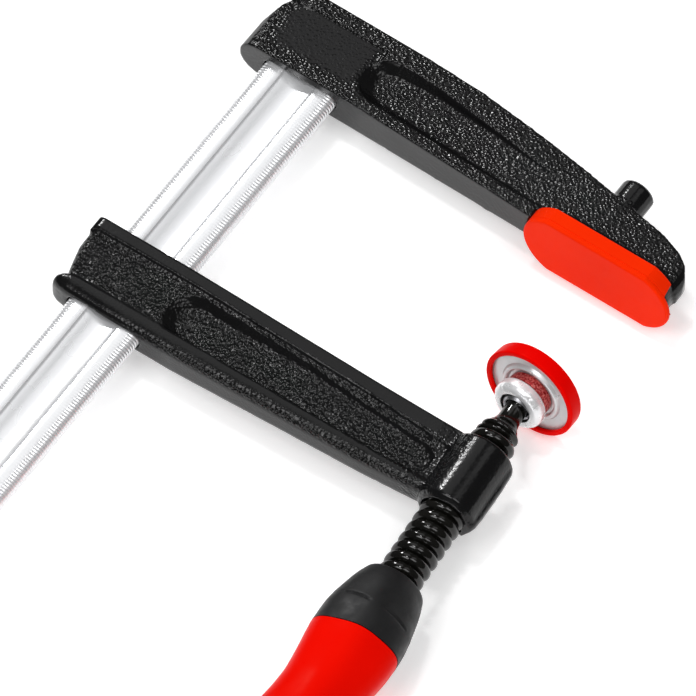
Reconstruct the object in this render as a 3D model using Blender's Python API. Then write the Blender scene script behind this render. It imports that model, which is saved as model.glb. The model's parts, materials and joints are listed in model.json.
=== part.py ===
"""F clamp with a 200 mm opening and a 100 mm throat, lying on its side.

Sizes are in millimetres and become metres in the scene. +X runs from the rail to the jaw tips, +Y along
the rail to the fixed arm, +Z up. The origin is the middle of the fixed jaw's face. The two castings and
the rail are drawn about the rail's centre line, with y = 0 at the fixed arm's inner face. The spindle,
handle and swivel plate are drawn about the centre of the spindle's ball, along the spindle.
"""

import math

import bmesh
import bpy

MM = 0.001
FIT = 0.3  # gap between pieces that touch

# Rail
RAIL_WIDTH = 25.0
RAIL_THICKNESS = 6.5
RAIL_LENGTH = 286.0
RAIL_TOP = 24.0  # its upper end above the fixed arm's inner face
GROOVE_WIDTH = 11.0
GROOVE_FLOOR = 3.0
GROOVE_DEPTH = 1.5
STOP_PIN_RADIUS = 2.0
STOP_PIN_HALF_LENGTH = 5.2
STOP_PIN_FROM_END = 6.0

# Fixed arm
JAW_X = 107.4  # rail centre line to the middle of the fixed jaw's face
ARM_HEIGHT = 25.8
ARM_HALF = 7.0  # half thickness at the rail
ARM_REAR = -21.5
ARM_NOSE = 131.8
LUG_X = 101.9
LUG_RADIUS = 5.5
LUG_TOP = 26.8

# Fixed jaw pad
PAD_LENGTH = 51.0
PAD_WIDTH = 25.2
PAD_STRAIGHT = 34.5
PAD_HEIGHT = 6.0
PAD_FACE = 2.7
PAD_WALL = 1.8
PAD_REACH = 4.5  # fixed arm's inner face to the jaw's face
NOTCH_HALF_TOP = 8.3
NOTCH_HALF_BOTTOM = 7.4
NOTCH_LOW = 1.6

# Sliding arm
SLIDER_TOP = -72.7
SLIDER_BOTTOM = -99.5
SLIDER_REAR = -19.6
SLIDER_CORNER = 2.5
SLIDER_END = 112.0  # where the web ends, inside the boss; the rims go a little further
RIM_HALF = 7.0  # half thickness of the upper rim by the rail
RIM_END_HALF = 5.2
LOWER_RIM_TOP = -93.0
WAIST_SETBACK = 1.0
BOSS_RADIUS = 9.6
BOSS_BOTTOM = -97.0
SLOT_PLAY = 0.4

# Spindle, measured along its axis from the ball's centre
SPINDLE_LEAN = 4.4  # degrees, the ball end towards the rail
BALL_X = 114.62
BALL_Y = -51.865
BALL_RADIUS = 4.6
NECK_RADIUS = 3.4
THREAD_RADIUS = 7.0
THREAD_DEPTH = 2.0
THREAD_PITCH = 4.0
THREAD_END = -14.8
THREAD_START = -74.2
SHANK_RADIUS = 5.0
SHANK_END = -137.0

# Swivel plate, measured from the ball's centre towards the work
PLATE_DROOP = 7.05  # degrees, the face tipped down
PLATE_TURN = -2.1  # degrees, the face turned towards the tips
SHELL_INNER = 4.85
SHELL_OUTER = 5.45
CAVITY_RADIUS = 5.7
SOCKET_RADIUS = 8.25
SOCKET_NECK = 7.3
SOCKET_HOLE = 4.9
SOCKET_RIM = -3.6
STEM_RADIUS = 6.6
DISC_BACK = 4.6
DISC_FACE = 6.5
DISC_RADIUS = 14.1
CAP_BACK = 3.3
CAP_FACE = 8.5
CAP_RADIUS = 15.5
CAP_FRONT_RADIUS = 15.2
CAP_LIP_RADIUS = 13.7

# Handle, measured along the spindle from the ball's centre
COLLAR_TOP = -72.4
COLLAR_END = -96.3
COLLAR_END_RADIUS = 14.5
COLLAR_SLANT = 1.5  # how far the joint between collar and body dips at its low side
COLLAR_LOW_SIDE = 197.7  # degrees about the axis
BODY_END = -184.0
HANDLE_END = -191.0
HANDLE_BORE = 5.3
HANDLE_SIDES = 6
HANDLE_FLATTENING = 0.025

RAIL_DATUM = (-JAW_X, PAD_REACH, 0.0)


def clear_scene():
    for thing in list(bpy.data.objects):
        bpy.data.objects.remove(thing, do_unlink=True)


def make_material(name, colour, roughness, metallic=0.0):
    made = bpy.data.materials.new(name)
    made.use_nodes = True
    shader = made.node_tree.nodes["Principled BSDF"]
    shader.inputs["Base Color"].default_value = (*colour, 1.0)
    shader.inputs["Roughness"].default_value = roughness
    shader.inputs["Metallic"].default_value = metallic
    return made


def make_empty(name, place, angles=(0.0, 0.0, 0.0)):
    """An empty at a place in millimetres, turned by angles in degrees."""
    empty = bpy.data.objects.new(name, None)
    empty.location = [value * MM for value in place]
    empty.rotation_euler = [math.radians(angle) for angle in angles]
    bpy.context.scene.collection.objects.link(empty)
    return empty


def make_object(name, mesh, material=None, parent=None, crease=40.0):
    """An object from a bmesh in millimetres, shaded smooth across edges flatter than crease degrees."""
    bmesh.ops.remove_doubles(mesh, verts=mesh.verts, dist=1e-4)
    bmesh.ops.recalc_face_normals(mesh, faces=mesh.faces)
    bmesh.ops.scale(mesh, verts=mesh.verts, vec=(MM, MM, MM))
    data = bpy.data.meshes.new(name)
    mesh.to_mesh(data)
    mesh.free()
    data.shade_smooth()
    data.set_sharp_from_angle(angle=math.radians(crease))
    made = bpy.data.objects.new(name, data)
    made.parent = parent
    if material:
        data.materials.append(material)
    bpy.context.scene.collection.objects.link(made)
    return made


def combine(target, mesh, operation, parent=None):
    """Joins a bmesh to target, cuts it away, or keeps only what both hold."""
    name = f"{target.name}_{operation.lower()}_{len(target.modifiers)}"
    tool = make_object(name, mesh, parent=parent or target.parent)
    tool.hide_render = True
    tool.display_type = "WIRE"
    step = target.modifiers.new(name, "BOOLEAN")
    step.operation = operation
    step.solver = "EXACT"
    step.object = tool


def arc(centre, radius, start, end, steps):
    """Points round an arc, from start to end in degrees."""
    angles = [math.radians(start + (end - start) * i / steps) for i in range(steps + 1)]
    return [(centre[0] + radius * math.cos(a), centre[1] + radius * math.sin(a)) for a in angles]


def bridge(rings):
    """A closed body through rings of the same number of points, with a face over each end."""
    mesh = bmesh.new()
    rows = [[mesh.verts.new(point) for point in ring] for ring in rings]
    count = len(rings[0])
    for lower, upper in zip(rows, rows[1:]):
        for i in range(count):
            j = (i + 1) % count
            mesh.faces.new((lower[i], lower[j], upper[j], upper[i]))
    mesh.faces.new(rows[0][::-1])
    mesh.faces.new(rows[-1])
    return mesh


def prism_z(outline, low, high):
    """An XY outline extruded from low to high."""
    return bridge([[(x, y, z) for x, y in outline] for z in (low, high)])


def prism_y(outline, low, high):
    """An XZ outline extruded from low to high."""
    return bridge([[(x, y, z) for x, z in outline] for y in (low, high)])


def turned(profile, segments, closed=False, shape=None, lift=None):
    """A profile of (radius, height) turned about Z. Its ends lie on the axis unless it is a closed loop.

    shape scales the radius and lift raises the height, each from the angle, radius and height.
    """
    mesh = bmesh.new()
    rows = []
    for radius, height in profile:
        if radius < 1e-6:
            rows.append([mesh.verts.new((0.0, 0.0, height))])
            continue
        row = []
        for i in range(segments):
            angle = 2.0 * math.pi * i / segments
            reach = radius * (shape(angle, radius, height) if shape else 1.0)
            rise = lift(angle, radius, height) if lift else 0.0
            row.append(mesh.verts.new((reach * math.cos(angle), reach * math.sin(angle), height + rise)))
        rows.append(row)
    pairs = list(zip(rows, rows[1:]))
    if closed:
        pairs.append((rows[-1], rows[0]))
    for lower, upper in pairs:
        for i in range(segments):
            j = (i + 1) % segments
            near = (lower[i % len(lower)], lower[j % len(lower)])
            far = (upper[j % len(upper)], upper[i % len(upper)])
            corners = near + far
            face = list(dict.fromkeys(corners))
            if len(face) > 2:
                mesh.faces.new(face)
    return mesh


def stadium(low_x, high_x, half, steps=8):
    """An outline with straight sides and round ends, from low_x to high_x and half a width to each side."""
    ends = arc((high_x - half, 0.0), half, -90.0, 90.0, steps)
    return ends + arc((low_x + half, 0.0), half, 90.0, 270.0, steps)


def rail_outline():
    """The rail's section: round edges, and a shallow groove along each broad face."""
    half = RAIL_THICKNESS / 2
    edge = RAIL_WIDTH / 2 - half
    lip = GROOVE_WIDTH / 2
    floor = GROOVE_FLOOR / 2
    deep = half - GROOVE_DEPTH
    right = arc((edge, 0.0), half, -90.0, 90.0, 10)
    left = arc((-edge, 0.0), half, 90.0, 270.0, 10)
    top = [(lip, half), (floor, deep), (-floor, deep), (-lip, half)]
    bottom = [(-x, -z) for x, z in top]
    return right + top + left + bottom


def make_rail(material, datum):
    rail = make_object("rail", prism_y(rail_outline(), RAIL_TOP - RAIL_LENGTH, RAIL_TOP), material, datum)
    pin_y = RAIL_TOP - RAIL_LENGTH + STOP_PIN_FROM_END
    hole = arc((0.0, pin_y), STOP_PIN_RADIUS + FIT, 0.0, 345.0, 23)
    combine(rail, prism_z(hole, -RAIL_THICKNESS, RAIL_THICKNESS), "DIFFERENCE")


def make_stop_pin(material, datum):
    pin_y = RAIL_TOP - RAIL_LENGTH + STOP_PIN_FROM_END
    outline = arc((0.0, pin_y), STOP_PIN_RADIUS, 0.0, 345.0, 23)
    pin = prism_z(outline, -STOP_PIN_HALF_LENGTH, STOP_PIN_HALF_LENGTH)
    make_object("rail_end_pin", pin, material, datum)


def arm_plan(rear, half, tip, tip_half):
    """An arm seen along the rail: round behind the rail, then tapering to the tip."""
    rear_end = arc((rear + half, 0.0), half, 90.0, 270.0, 10)
    nose = arc((tip - tip_half, 0.0), tip_half, -60.0, 60.0, 6)
    return rear_end + [(18.0, -half), (80.0, -tip_half)] + nose + [(80.0, tip_half), (18.0, half)]


def fixed_arm_outline():
    """The fixed arm's side view, anticlockwise from its inner rear corner."""
    inner = [(ARM_REAR, 0.0), (18.0, 0.0), (60.0, -1.0), (84.0, -1.6), (120.0, -1.6), (128.0, 0.3)]
    nose = [(131.2, 0.6), (131.7, 2.2), (ARM_NOSE, 4.6), (130.9, 7.6), (128.7, 10.8), (125.0, 13.4)]
    outer = [(118.0, 15.9), (98.0, 19.2), (89.0, 20.7), (72.0, 23.1), (50.0, 25.3), (36.0, ARM_HEIGHT)]
    rear = [(-10.5, ARM_HEIGHT), (-15.0, 22.5), (-18.0, 17.5), (-20.3, 10.5)]
    return inner + nose + outer + rear


def fixed_pocket(side):
    """The hollow in one side of the fixed arm. It is deepest by the rail and runs out near the tip."""
    rim = arc((22.6, 11.5), 7.8, 265.0, 95.0, 10) + [(36.0, 19.6), (60.0, 17.6), (80.0, 15.2), (100.0, 12.3)]
    rim += [(96.0, 5.5), (84.0, 1.7), (60.0, 2.0)]
    floor = arc((24.4, 11.5), 5.3, 265.0, 95.0, 10) + [(36.0, 17.4), (60.0, 15.8), (80.0, 14.0), (98.0, 11.6)]
    floor += [(95.0, 6.2), (84.0, 3.0), (60.0, 4.2)]
    outside = 2.0 * ARM_HALF
    shallow, deep = 5.55, 3.3

    def depth(x):
        return deep + (shallow - deep) * (x - 19.0) / 80.0

    rings = [[(x, y, side * depth(x)) for x, y in floor]]
    rings.append([(x, y, side * (depth(x) + 3.2)) for x, y in rim])
    rings.append([(x, y, side * outside) for x, y in rim])
    return bridge(rings)


def socket_face(side):
    """What is taken off the arm's side by the rail, so that the upper flange stands proud along a crease."""
    near, far = 3.0, 20.0
    section = [(near, ARM_HALF), (far, ARM_HALF - 0.8), (far, 2 * ARM_HALF), (near, 2 * ARM_HALF)]
    return bridge([[(x, y, side * z) for y, z in section] for x in (ARM_REAR - 5.0, 17.0)])


def jaw_plan(inset):
    """The jaw seen from the work: straight sides and shallow round ends, shrunk by an inset."""
    bulge = (PAD_LENGTH - PAD_STRAIGHT) / 2
    half = PAD_WIDTH / 2
    radius = (half * half + bulge * bulge) / (2 * bulge)
    centre = PAD_LENGTH / 2 - radius
    reach = radius - inset
    swing = math.degrees(math.asin((half - inset) / reach))
    right = arc((centre, 0.0), reach, -swing, swing, 12)
    return right + arc((-centre, 0.0), reach, 180.0 - swing, 180.0 + swing, 12)


def make_fixed_arm(material, datum):
    arm = make_object("fixed_arm", prism_z(fixed_arm_outline(), -2 * ARM_HALF, 2 * ARM_HALF), material, datum)
    plan = arm_plan(ARM_REAR, ARM_HALF, ARM_NOSE, 5.6)
    combine(arm, prism_y(plan, -10.0, ARM_HEIGHT + 10.0), "INTERSECT")
    for side in (1, -1):
        combine(arm, socket_face(side), "DIFFERENCE")
        combine(arm, fixed_pocket(side), "DIFFERENCE")
    foot_low = PAD_FACE + FIT - PAD_REACH
    foot_mid = PAD_HEIGHT + FIT - PAD_REACH
    room = [(JAW_X + x, z) for x, z in jaw_plan(-FIT)]
    combine(arm, prism_y(room, foot_low - 10.0, foot_mid), "DIFFERENCE")
    wide = [(JAW_X + x, z) for x, z in jaw_plan(PAD_WALL + FIT)]
    narrow = [(JAW_X + 0.9 * x, 0.42 * z) for x, z in jaw_plan(PAD_WALL + FIT)]
    levels = [(foot_low, wide), (foot_mid, wide), (foot_mid + 4.0, narrow)]
    combine(arm, bridge([[(x, y, z) for x, z in ring] for y, ring in levels]), "UNION")
    lug = [(LUG_X + x, z) for x, z in arc((0.0, 0.0), LUG_RADIUS, 0.0, 340.0, 17)]
    top = [(LUG_X + 0.8 * (x - LUG_X), 0.8 * z) for x, z in lug]
    levels = [(10.0, lug), (LUG_TOP - 0.9, lug), (LUG_TOP, top)]
    combine(arm, bridge([[(x, y, z) for x, z in ring] for y, ring in levels]), "UNION")
    slot = stadium(-RAIL_WIDTH / 2 - FIT, RAIL_WIDTH / 2 + FIT, RAIL_THICKNESS / 2 + FIT)
    combine(arm, prism_y(slot, -5.0, ARM_HEIGHT + 5.0), "DIFFERENCE")


def make_fixed_jaw_pad(material):
    """A plastic cap over the jaw's foot, its wall notched at the tip."""
    pad = make_object("fixed_jaw_pad", prism_y(jaw_plan(0.0), 0.0, PAD_HEIGHT), material)
    combine(pad, prism_y(jaw_plan(PAD_WALL), PAD_FACE, PAD_HEIGHT + 5.0), "DIFFERENCE")
    low, high = NOTCH_LOW, PAD_HEIGHT + 1.0
    bottom, top = NOTCH_HALF_BOTTOM, NOTCH_HALF_TOP
    section = [(low, -bottom), (high, -top), (high, top), (low, bottom)]
    notch = [[(x, y, z) for y, z in section] for x in (PAD_LENGTH / 2 - 5.0, PAD_LENGTH / 2 + 5.0)]
    combine(pad, bridge(notch), "DIFFERENCE")


def slider_level(rear, half):
    """A level section of the sliding arm: round corners behind the rail, tapering towards the boss."""
    corner = arc((rear + SLIDER_CORNER, half - SLIDER_CORNER), SLIDER_CORNER, 90.0, 180.0, 4)
    end = half - RIM_HALF + RIM_END_HALF
    far_side = [(x, -z) for x, z in reversed(corner)] + [(18.0, -half), (80.0, -end), (SLIDER_END, -end)]
    return corner + far_side + [(SLIDER_END, end), (80.0, end), (18.0, half)]


def slider_web():
    """The set-back web between the sliding arm's rims. Its rear slants in towards the lower rim."""
    levels = [(SLIDER_TOP - 1.0, -19.3), (-84.0, -19.1), (-90.0, -17.6), (LOWER_RIM_TOP - 1.5, -16.3)]
    half = RIM_HALF - WAIST_SETBACK
    return bridge([[(x, y, z) for x, z in slider_level(rear, half)] for y, rear in levels])


def under_curve(across, down, steps=4):
    """A quarter of an ellipse, from straight out to straight down."""
    angles = [math.radians(90.0 * i / steps) for i in range(steps + 1)]
    return [(across * math.cos(a), -down * math.sin(a)) for a in angles]


def slider_upper_rim():
    """The sliding arm's straight upper rim, from sections along the arm of half thickness and lower edge."""
    stations = [(SLIDER_REAR, 5.2, -78.5), (-19.1, 6.3, -77.7), (-17.6, RIM_HALF, -77.2)]
    stations += [(18.0, RIM_HALF, -77.0), (80.0, RIM_END_HALF, -77.6)]
    stations.append((SLIDER_END + 0.6, RIM_END_HALF, -79.6))
    rings = []
    for x, half, bottom in stations:
        near = [(SLIDER_TOP, half - 0.4), (SLIDER_TOP - 0.4, half), (bottom, half)]
        rings.append([(x, y, z) for y, z in near] + [(x, y, -z) for y, z in reversed(near)])
    return bridge(rings)


def slider_lower_rim():
    """The sliding arm's lower rim: a thick bead with a round underside, from sections along the arm."""
    stations = [(-19.1, 3.6, -96.1, -97.7), (-18.5, 5.0, -95.2, -98.3), (-16.9, 6.0, -94.2, -98.8)]
    stations += [(-14.0, 6.3, -93.3, -99.2), (0.0, 6.3, LOWER_RIM_TOP, SLIDER_BOTTOM)]
    stations += [(24.0, 6.2, LOWER_RIM_TOP, SLIDER_BOTTOM), (40.0, 5.8, -92.8, -99.0)]
    stations.append((60.0, 5.4, -92.5, -98.3))
    stations += [(87.0, 5.0, -92.0, -97.4), (100.0, 4.9, -91.8, -96.5), (SLIDER_END + 1.2, 4.8, -91.6, -95.4)]
    under_y, under_z = 3.6, 2.6
    rings = []
    for x, half, top, bottom in stations:
        round_y = min(under_y, 0.6 * (top - bottom))
        near = [(top, half - 0.8), (top - 0.7, half)]
        near += [(bottom + round_y + b, half - under_z + a) for a, b in under_curve(under_z, round_y)]
        rings.append([(x, y, z) for y, z in near] + [(x, y, -z) for y, z in reversed(near)])
    return bridge(rings)


def slider_pocket(side):
    """The hollow in one side of the sliding arm, between the rail and the boss."""
    rim = arc((23.0, -87.0), 8.8, 265.0, 95.0, 10) + [(60.0, -77.9), (104.0, -80.4), (108.5, -83.4)]
    rim += [(108.5, -90.0), (105.0, -93.2), (60.0, -95.8)]
    floor = arc((24.6, -87.0), 6.2, 265.0, 95.0, 10) + [(60.0, -80.4), (102.0, -82.6), (105.2, -84.6)]
    floor += [(105.2, -89.0), (103.0, -91.2), (60.0, -93.6)]
    rings = [[(x, y, side * 2.9) for x, y in floor]]
    rings.append([(x, y, side * 5.9) for x, y in rim])
    rings.append([(x, y, side * 2.0 * RIM_HALF) for x, y in rim])
    return bridge(rings)


def make_sliding_arm(material, datum, spindle):
    """Two rims and a set-back web, a pocket in each side, the rail's slot and the spindle's boss."""
    arm = make_object("sliding_arm", slider_web(), material, datum)
    for side in (1, -1):
        combine(arm, slider_pocket(side), "DIFFERENCE")
    combine(arm, slider_upper_rim(), "UNION")
    combine(arm, slider_lower_rim(), "UNION")
    lean = math.cos(math.radians(SPINDLE_LEAN))
    boss_low = (BOSS_BOTTOM - BALL_Y) / lean
    boss_high = (SLIDER_TOP - BALL_Y) / lean
    edge = 1.6
    boss = [(0.0, boss_low), (BOSS_RADIUS - edge, boss_low), (BOSS_RADIUS, boss_low + edge)]
    boss += [(BOSS_RADIUS, boss_high - 0.7), (BOSS_RADIUS - 0.7, boss_high), (0.0, boss_high)]
    combine(arm, turned(boss, 40), "UNION", spindle)
    bore = THREAD_RADIUS + FIT
    hole = [(0.0, boss_low - 5.0), (bore, boss_low - 5.0), (bore, boss_high + 5.0), (0.0, boss_high + 5.0)]
    combine(arm, turned(hole, 32), "DIFFERENCE", spindle)
    slot = stadium(-RAIL_WIDTH / 2 - SLOT_PLAY, RAIL_WIDTH / 2 + SLOT_PLAY, RAIL_THICKNESS / 2 + SLOT_PLAY)
    combine(arm, prism_y(slot, SLIDER_BOTTOM - 5.0, SLIDER_TOP + 5.0), "DIFFERENCE")


def thread_radius(angle, height):
    """The rolled thread's radius: rounded crests and wide round roots on a right-hand helix."""
    turn = (height / THREAD_PITCH - angle / (2.0 * math.pi)) % 1.0
    wave = 0.5 + 0.5 * math.cos(2.0 * math.pi * turn)
    return THREAD_RADIUS - THREAD_DEPTH * (1.0 - wave ** 0.8)


def make_spindle(material, axis):
    """One steel piece: plain shank in the handle, rolled thread, run-out ring, waisted neck and ball."""
    segments = 16
    rows_per_turn = 6
    mesh = bmesh.new()
    rings = []

    def add_ring(height, radius_at):
        angles = [2.0 * math.pi * i / segments for i in range(segments)]
        points = [(radius_at(a) * math.cos(a), radius_at(a) * math.sin(a), height) for a in angles]
        rings.append([mesh.verts.new(point) for point in points])

    add_ring(SHANK_END, lambda a: SHANK_RADIUS)
    add_ring(THREAD_START - 0.6, lambda a: SHANK_RADIUS)
    count = round((THREAD_END - THREAD_START) / THREAD_PITCH * rows_per_turn)
    for i in range(count + 1):
        height = THREAD_START + (THREAD_END - THREAD_START) * i / count
        add_ring(height, lambda a, h=height: thread_radius(a, h))
    neck = [(-13.9, 5.0), (-13.1, 5.9), (-12.3, 5.9), (-11.5, 5.2), (-10.6, 4.66), (-9.6, 3.97), (-8.3, 3.6)]
    neck += [(-6.5, NECK_RADIUS), (-3.6, NECK_RADIUS)]
    for height, radius in neck:
        add_ring(height, lambda a, r=radius: r)
    meet = math.degrees(math.acos(NECK_RADIUS / BALL_RADIUS))
    for radius, height in arc((0.0, 0.0), BALL_RADIUS, -meet, 78.0, 7):
        add_ring(height, lambda a, r=radius: r)
    for lower, upper in zip(rings, rings[1:]):
        for i in range(segments):
            j = (i + 1) % segments
            mesh.faces.new((lower[i], lower[j], upper[j], upper[i]))
    mesh.faces.new(rings[0][::-1])
    mesh.faces.new(rings[-1])
    make_object("spindle", mesh, material, axis)


def shell_zone(start, end, steps=8):
    """A thin spherical shell between two angles from the spindle's axis, as a turned profile."""
    outer = [(r, z) for z, r in arc((0.0, 0.0), SHELL_OUTER, start, end, steps)]
    inner = [(r, z) for z, r in arc((0.0, 0.0), SHELL_INNER, end, start, steps)]
    return outer + inner


def make_swivel_plate(materials, axis, pivot):
    """The ball's retaining ring and seat, the crimped socket, the disc with its bead, and the plastic cap."""
    ring = turned(shell_zone(95.0, 128.0, 5), 32, closed=True)
    make_object("ball_retaining_ring", ring, materials["steel"], axis)
    seat = [(0.0, SHELL_INNER)] + [(r, z) for z, r in arc((0.0, 0.0), SHELL_INNER, 10.0, 60.0, 5)]
    seat += [(r, z) for z, r in arc((0.0, 0.0), SHELL_OUTER, 60.0, 10.0, 5)] + [(0.0, SHELL_OUTER)]
    make_object("ball_seat", turned(seat, 32), materials["seat"], pivot)
    mouth = 180.0 - math.degrees(math.asin(SOCKET_HOLE / CAVITY_RADIUS))
    cavity = [(r, z) for z, r in arc((0.0, 0.0), CAVITY_RADIUS, 0.0, mouth, 12)]
    lip = [(SOCKET_HOLE + 0.5, SOCKET_RIM), (6.9, SOCKET_RIM), (7.9, -3.0), (SOCKET_RADIUS, -1.9)]
    neck = [(SOCKET_RADIUS, 0.2), (7.8, 0.8), (SOCKET_NECK, 1.1), (SOCKET_NECK, DISC_BACK - FIT)]
    stem = [(STEM_RADIUS, DISC_BACK - FIT), (STEM_RADIUS, DISC_FACE), (0.0, DISC_FACE)]
    make_object("ball_socket", turned(cavity + lip + neck + stem, 40), materials["socket"], pivot)
    hole = STEM_RADIUS + FIT
    bead = [(8.4, DISC_BACK), (8.9, DISC_BACK - 0.9), (9.9, DISC_BACK - 0.9), (10.6, DISC_BACK)]
    disc = [(hole, DISC_BACK)] + bead
    disc += [(DISC_RADIUS, DISC_BACK), (DISC_RADIUS, DISC_FACE), (hole, DISC_FACE)]
    make_object("swivel_plate", turned(disc, 40, closed=True), materials["plate"], pivot)
    shelf = DISC_RADIUS + FIT
    inside = [(0.0, DISC_FACE + FIT), (shelf, DISC_FACE + FIT), (shelf, DISC_BACK - FIT)]
    inside += [(CAP_LIP_RADIUS, DISC_BACK - FIT), (CAP_LIP_RADIUS, CAP_BACK)]
    outside = [(CAP_RADIUS - 0.3, CAP_BACK), (CAP_RADIUS, CAP_BACK + 0.3), (CAP_FRONT_RADIUS, CAP_FACE - 0.5)]
    outside += [(CAP_FRONT_RADIUS - 0.5, CAP_FACE), (0.0, CAP_FACE)]
    make_object("swivel_plate_cap", turned(inside + outside, 48), materials["red"], pivot)


def soft_hexagon(angle, radius, height):
    """The handle's section as a share of its radius: six soft-cornered flats, and a round bore."""
    swell = min(1.0, max(0.0, (radius - 9.5) / 4.0))
    return 1.0 - HANDLE_FLATTENING * swell * (0.5 - 0.5 * math.cos(HANDLE_SIDES * angle))


def collar_slant(angle, radius, height):
    """How the joint between the collar and the body dips to one side."""
    if not COLLAR_END - 2 * FIT < height < COLLAR_END + FIT:
        return 0.0
    dip = COLLAR_SLANT * radius / COLLAR_END_RADIUS
    return -dip * math.cos(angle - math.radians(COLLAR_LOW_SIDE))


def make_handle(materials, axis):
    """A soft black collar, a hard red body and a soft black end, in line on the spindle's shank."""
    wide_bore = THREAD_RADIUS + FIT
    collar = [(wide_bore, COLLAR_TOP), (8.9, COLLAR_TOP), (9.7, -73.1), (10.6, -75.0), (11.8, -78.3)]
    collar += [(13.2, -83.7), (14.1, -87.6), (COLLAR_END_RADIUS, -91.5), (COLLAR_END_RADIUS, COLLAR_END)]
    collar += [(HANDLE_BORE, COLLAR_END), (HANDLE_BORE, THREAD_START - 1.2), (wide_bore, THREAD_START - 1.2)]
    collar_mesh = turned(collar, 36, closed=True, shape=soft_hexagon, lift=collar_slant)
    make_object("handle_collar", collar_mesh, materials["soft"], axis)
    body = [(0.0, SHANK_END - FIT), (HANDLE_BORE, SHANK_END - FIT), (HANDLE_BORE, COLLAR_END - FIT)]
    body += [(COLLAR_END_RADIUS, COLLAR_END - FIT), (14.2, -100.5), (13.6, -106.0), (12.95, -112.0)]
    body += [(12.8, -116.5), (13.4, -123.5), (14.7, -132.0), (16.1, -141.0), (16.9, -150.0), (17.0, -158.0)]
    body += [(16.4, -167.0), (15.1, -176.0), (13.6, BODY_END), (0.0, BODY_END)]
    body_mesh = turned(body, 36, shape=soft_hexagon, lift=collar_slant)
    make_object("handle_body", body_mesh, materials["red"], axis)
    end = [(0.0, BODY_END - FIT), (13.5, BODY_END - FIT), (12.9, -187.0), (11.0, -189.6), (7.0, -190.8)]
    end_mesh = turned(end + [(0.0, HANDLE_END)], 36, shape=soft_hexagon)
    make_object("handle_end_cap", end_mesh, materials["soft"], axis)


def make_clamp():
    clear_scene()
    materials = {
        "zinc": make_material("zinc_plated_steel", (0.72, 0.73, 0.75), 0.28, 1.0),
        "casting": make_material("black_casting", (0.012, 0.012, 0.013), 0.38),
        "red": make_material("red_plastic", (0.85, 0.03, 0.005), 0.35),
        "black_steel": make_material("black_steel", (0.01, 0.01, 0.01), 0.25, 0.4),
        "steel": make_material("spring_steel", (0.3, 0.3, 0.32), 0.35, 1.0),
        "seat": make_material("seat_plastic", (0.05, 0.05, 0.05), 0.5),
        "socket": make_material("crimped_steel", (0.7, 0.7, 0.71), 0.35, 0.9),
        "plate": make_material("plate_steel", (0.5, 0.51, 0.52), 0.4, 0.9),
        "soft": make_material("soft_black_plastic", (0.02, 0.02, 0.021), 0.6),
    }
    datum = make_empty("rail_datum", RAIL_DATUM)
    ball = (RAIL_DATUM[0] + BALL_X, RAIL_DATUM[1] + BALL_Y, 0.0)
    axis = make_empty("spindle_axis", ball, (-90.0, 0.0, SPINDLE_LEAN))
    pivot = make_empty("plate_pivot", ball, (-90.0 - PLATE_DROOP, 0.0, PLATE_TURN))
    make_rail(materials["zinc"], datum)
    make_stop_pin(materials["steel"], datum)
    make_fixed_arm(materials["casting"], datum)
    make_fixed_jaw_pad(materials["red"])
    make_sliding_arm(materials["casting"], datum, axis)
    make_spindle(materials["black_steel"], axis)
    make_swivel_plate(materials, axis, pivot)
    make_handle(materials, axis)


make_clamp()
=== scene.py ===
"""The looks of an f clamp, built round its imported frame.

Shapes are drawn in millimetres, in local axes:
- the rail's, with x = 0 on its centre line and y = 0 at the fixed arm's inner face;
- the jaw's, which are the world's, from the middle of the fixed jaw's working face;
- the spindle's and the swivel plate's, both from the ball's centre with z towards the work.
"""

import json
import math

import bmesh
import bpy
import numpy as np
from mathutils import Matrix, Vector, noise


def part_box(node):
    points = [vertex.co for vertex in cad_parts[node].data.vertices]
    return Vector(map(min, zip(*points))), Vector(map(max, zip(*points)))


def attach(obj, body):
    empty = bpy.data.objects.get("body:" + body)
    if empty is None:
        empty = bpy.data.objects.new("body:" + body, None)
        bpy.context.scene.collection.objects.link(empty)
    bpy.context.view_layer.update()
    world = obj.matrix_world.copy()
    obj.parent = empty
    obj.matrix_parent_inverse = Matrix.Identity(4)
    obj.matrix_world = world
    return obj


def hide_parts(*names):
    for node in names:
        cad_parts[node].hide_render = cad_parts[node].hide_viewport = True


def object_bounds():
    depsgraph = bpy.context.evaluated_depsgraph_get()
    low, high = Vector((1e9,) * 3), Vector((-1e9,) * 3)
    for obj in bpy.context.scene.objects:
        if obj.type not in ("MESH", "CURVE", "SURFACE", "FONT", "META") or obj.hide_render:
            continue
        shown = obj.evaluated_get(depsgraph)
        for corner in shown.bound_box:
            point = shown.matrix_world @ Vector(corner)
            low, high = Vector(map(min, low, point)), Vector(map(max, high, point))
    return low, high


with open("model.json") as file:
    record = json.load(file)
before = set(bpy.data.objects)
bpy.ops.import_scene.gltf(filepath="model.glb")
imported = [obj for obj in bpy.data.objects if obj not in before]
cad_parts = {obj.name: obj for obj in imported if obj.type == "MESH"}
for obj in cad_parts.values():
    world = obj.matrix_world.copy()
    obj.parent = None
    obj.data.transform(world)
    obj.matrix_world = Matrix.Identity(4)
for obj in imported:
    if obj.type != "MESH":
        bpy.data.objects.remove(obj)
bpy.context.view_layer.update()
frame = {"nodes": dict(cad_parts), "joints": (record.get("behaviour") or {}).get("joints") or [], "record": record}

MM = 0.001
JOINTS = {joint["name"]: joint for joint in frame["joints"]}
MOUNTS = {mount["name"]: mount for mount in frame["record"]["mounts"]}
BALL = Vector(JOINTS["spindle_turn"]["pos_m"])

# Camera
AZIMUTH = 34.9
ELEVATION = 57.9
TARGET = (-0.0443, -0.0613, 0.0)
DISTANCE = 8.0
VIEW_WIDTH = 0.2012
SENSOR = 36.0
CLIP_END = 100.0

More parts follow.
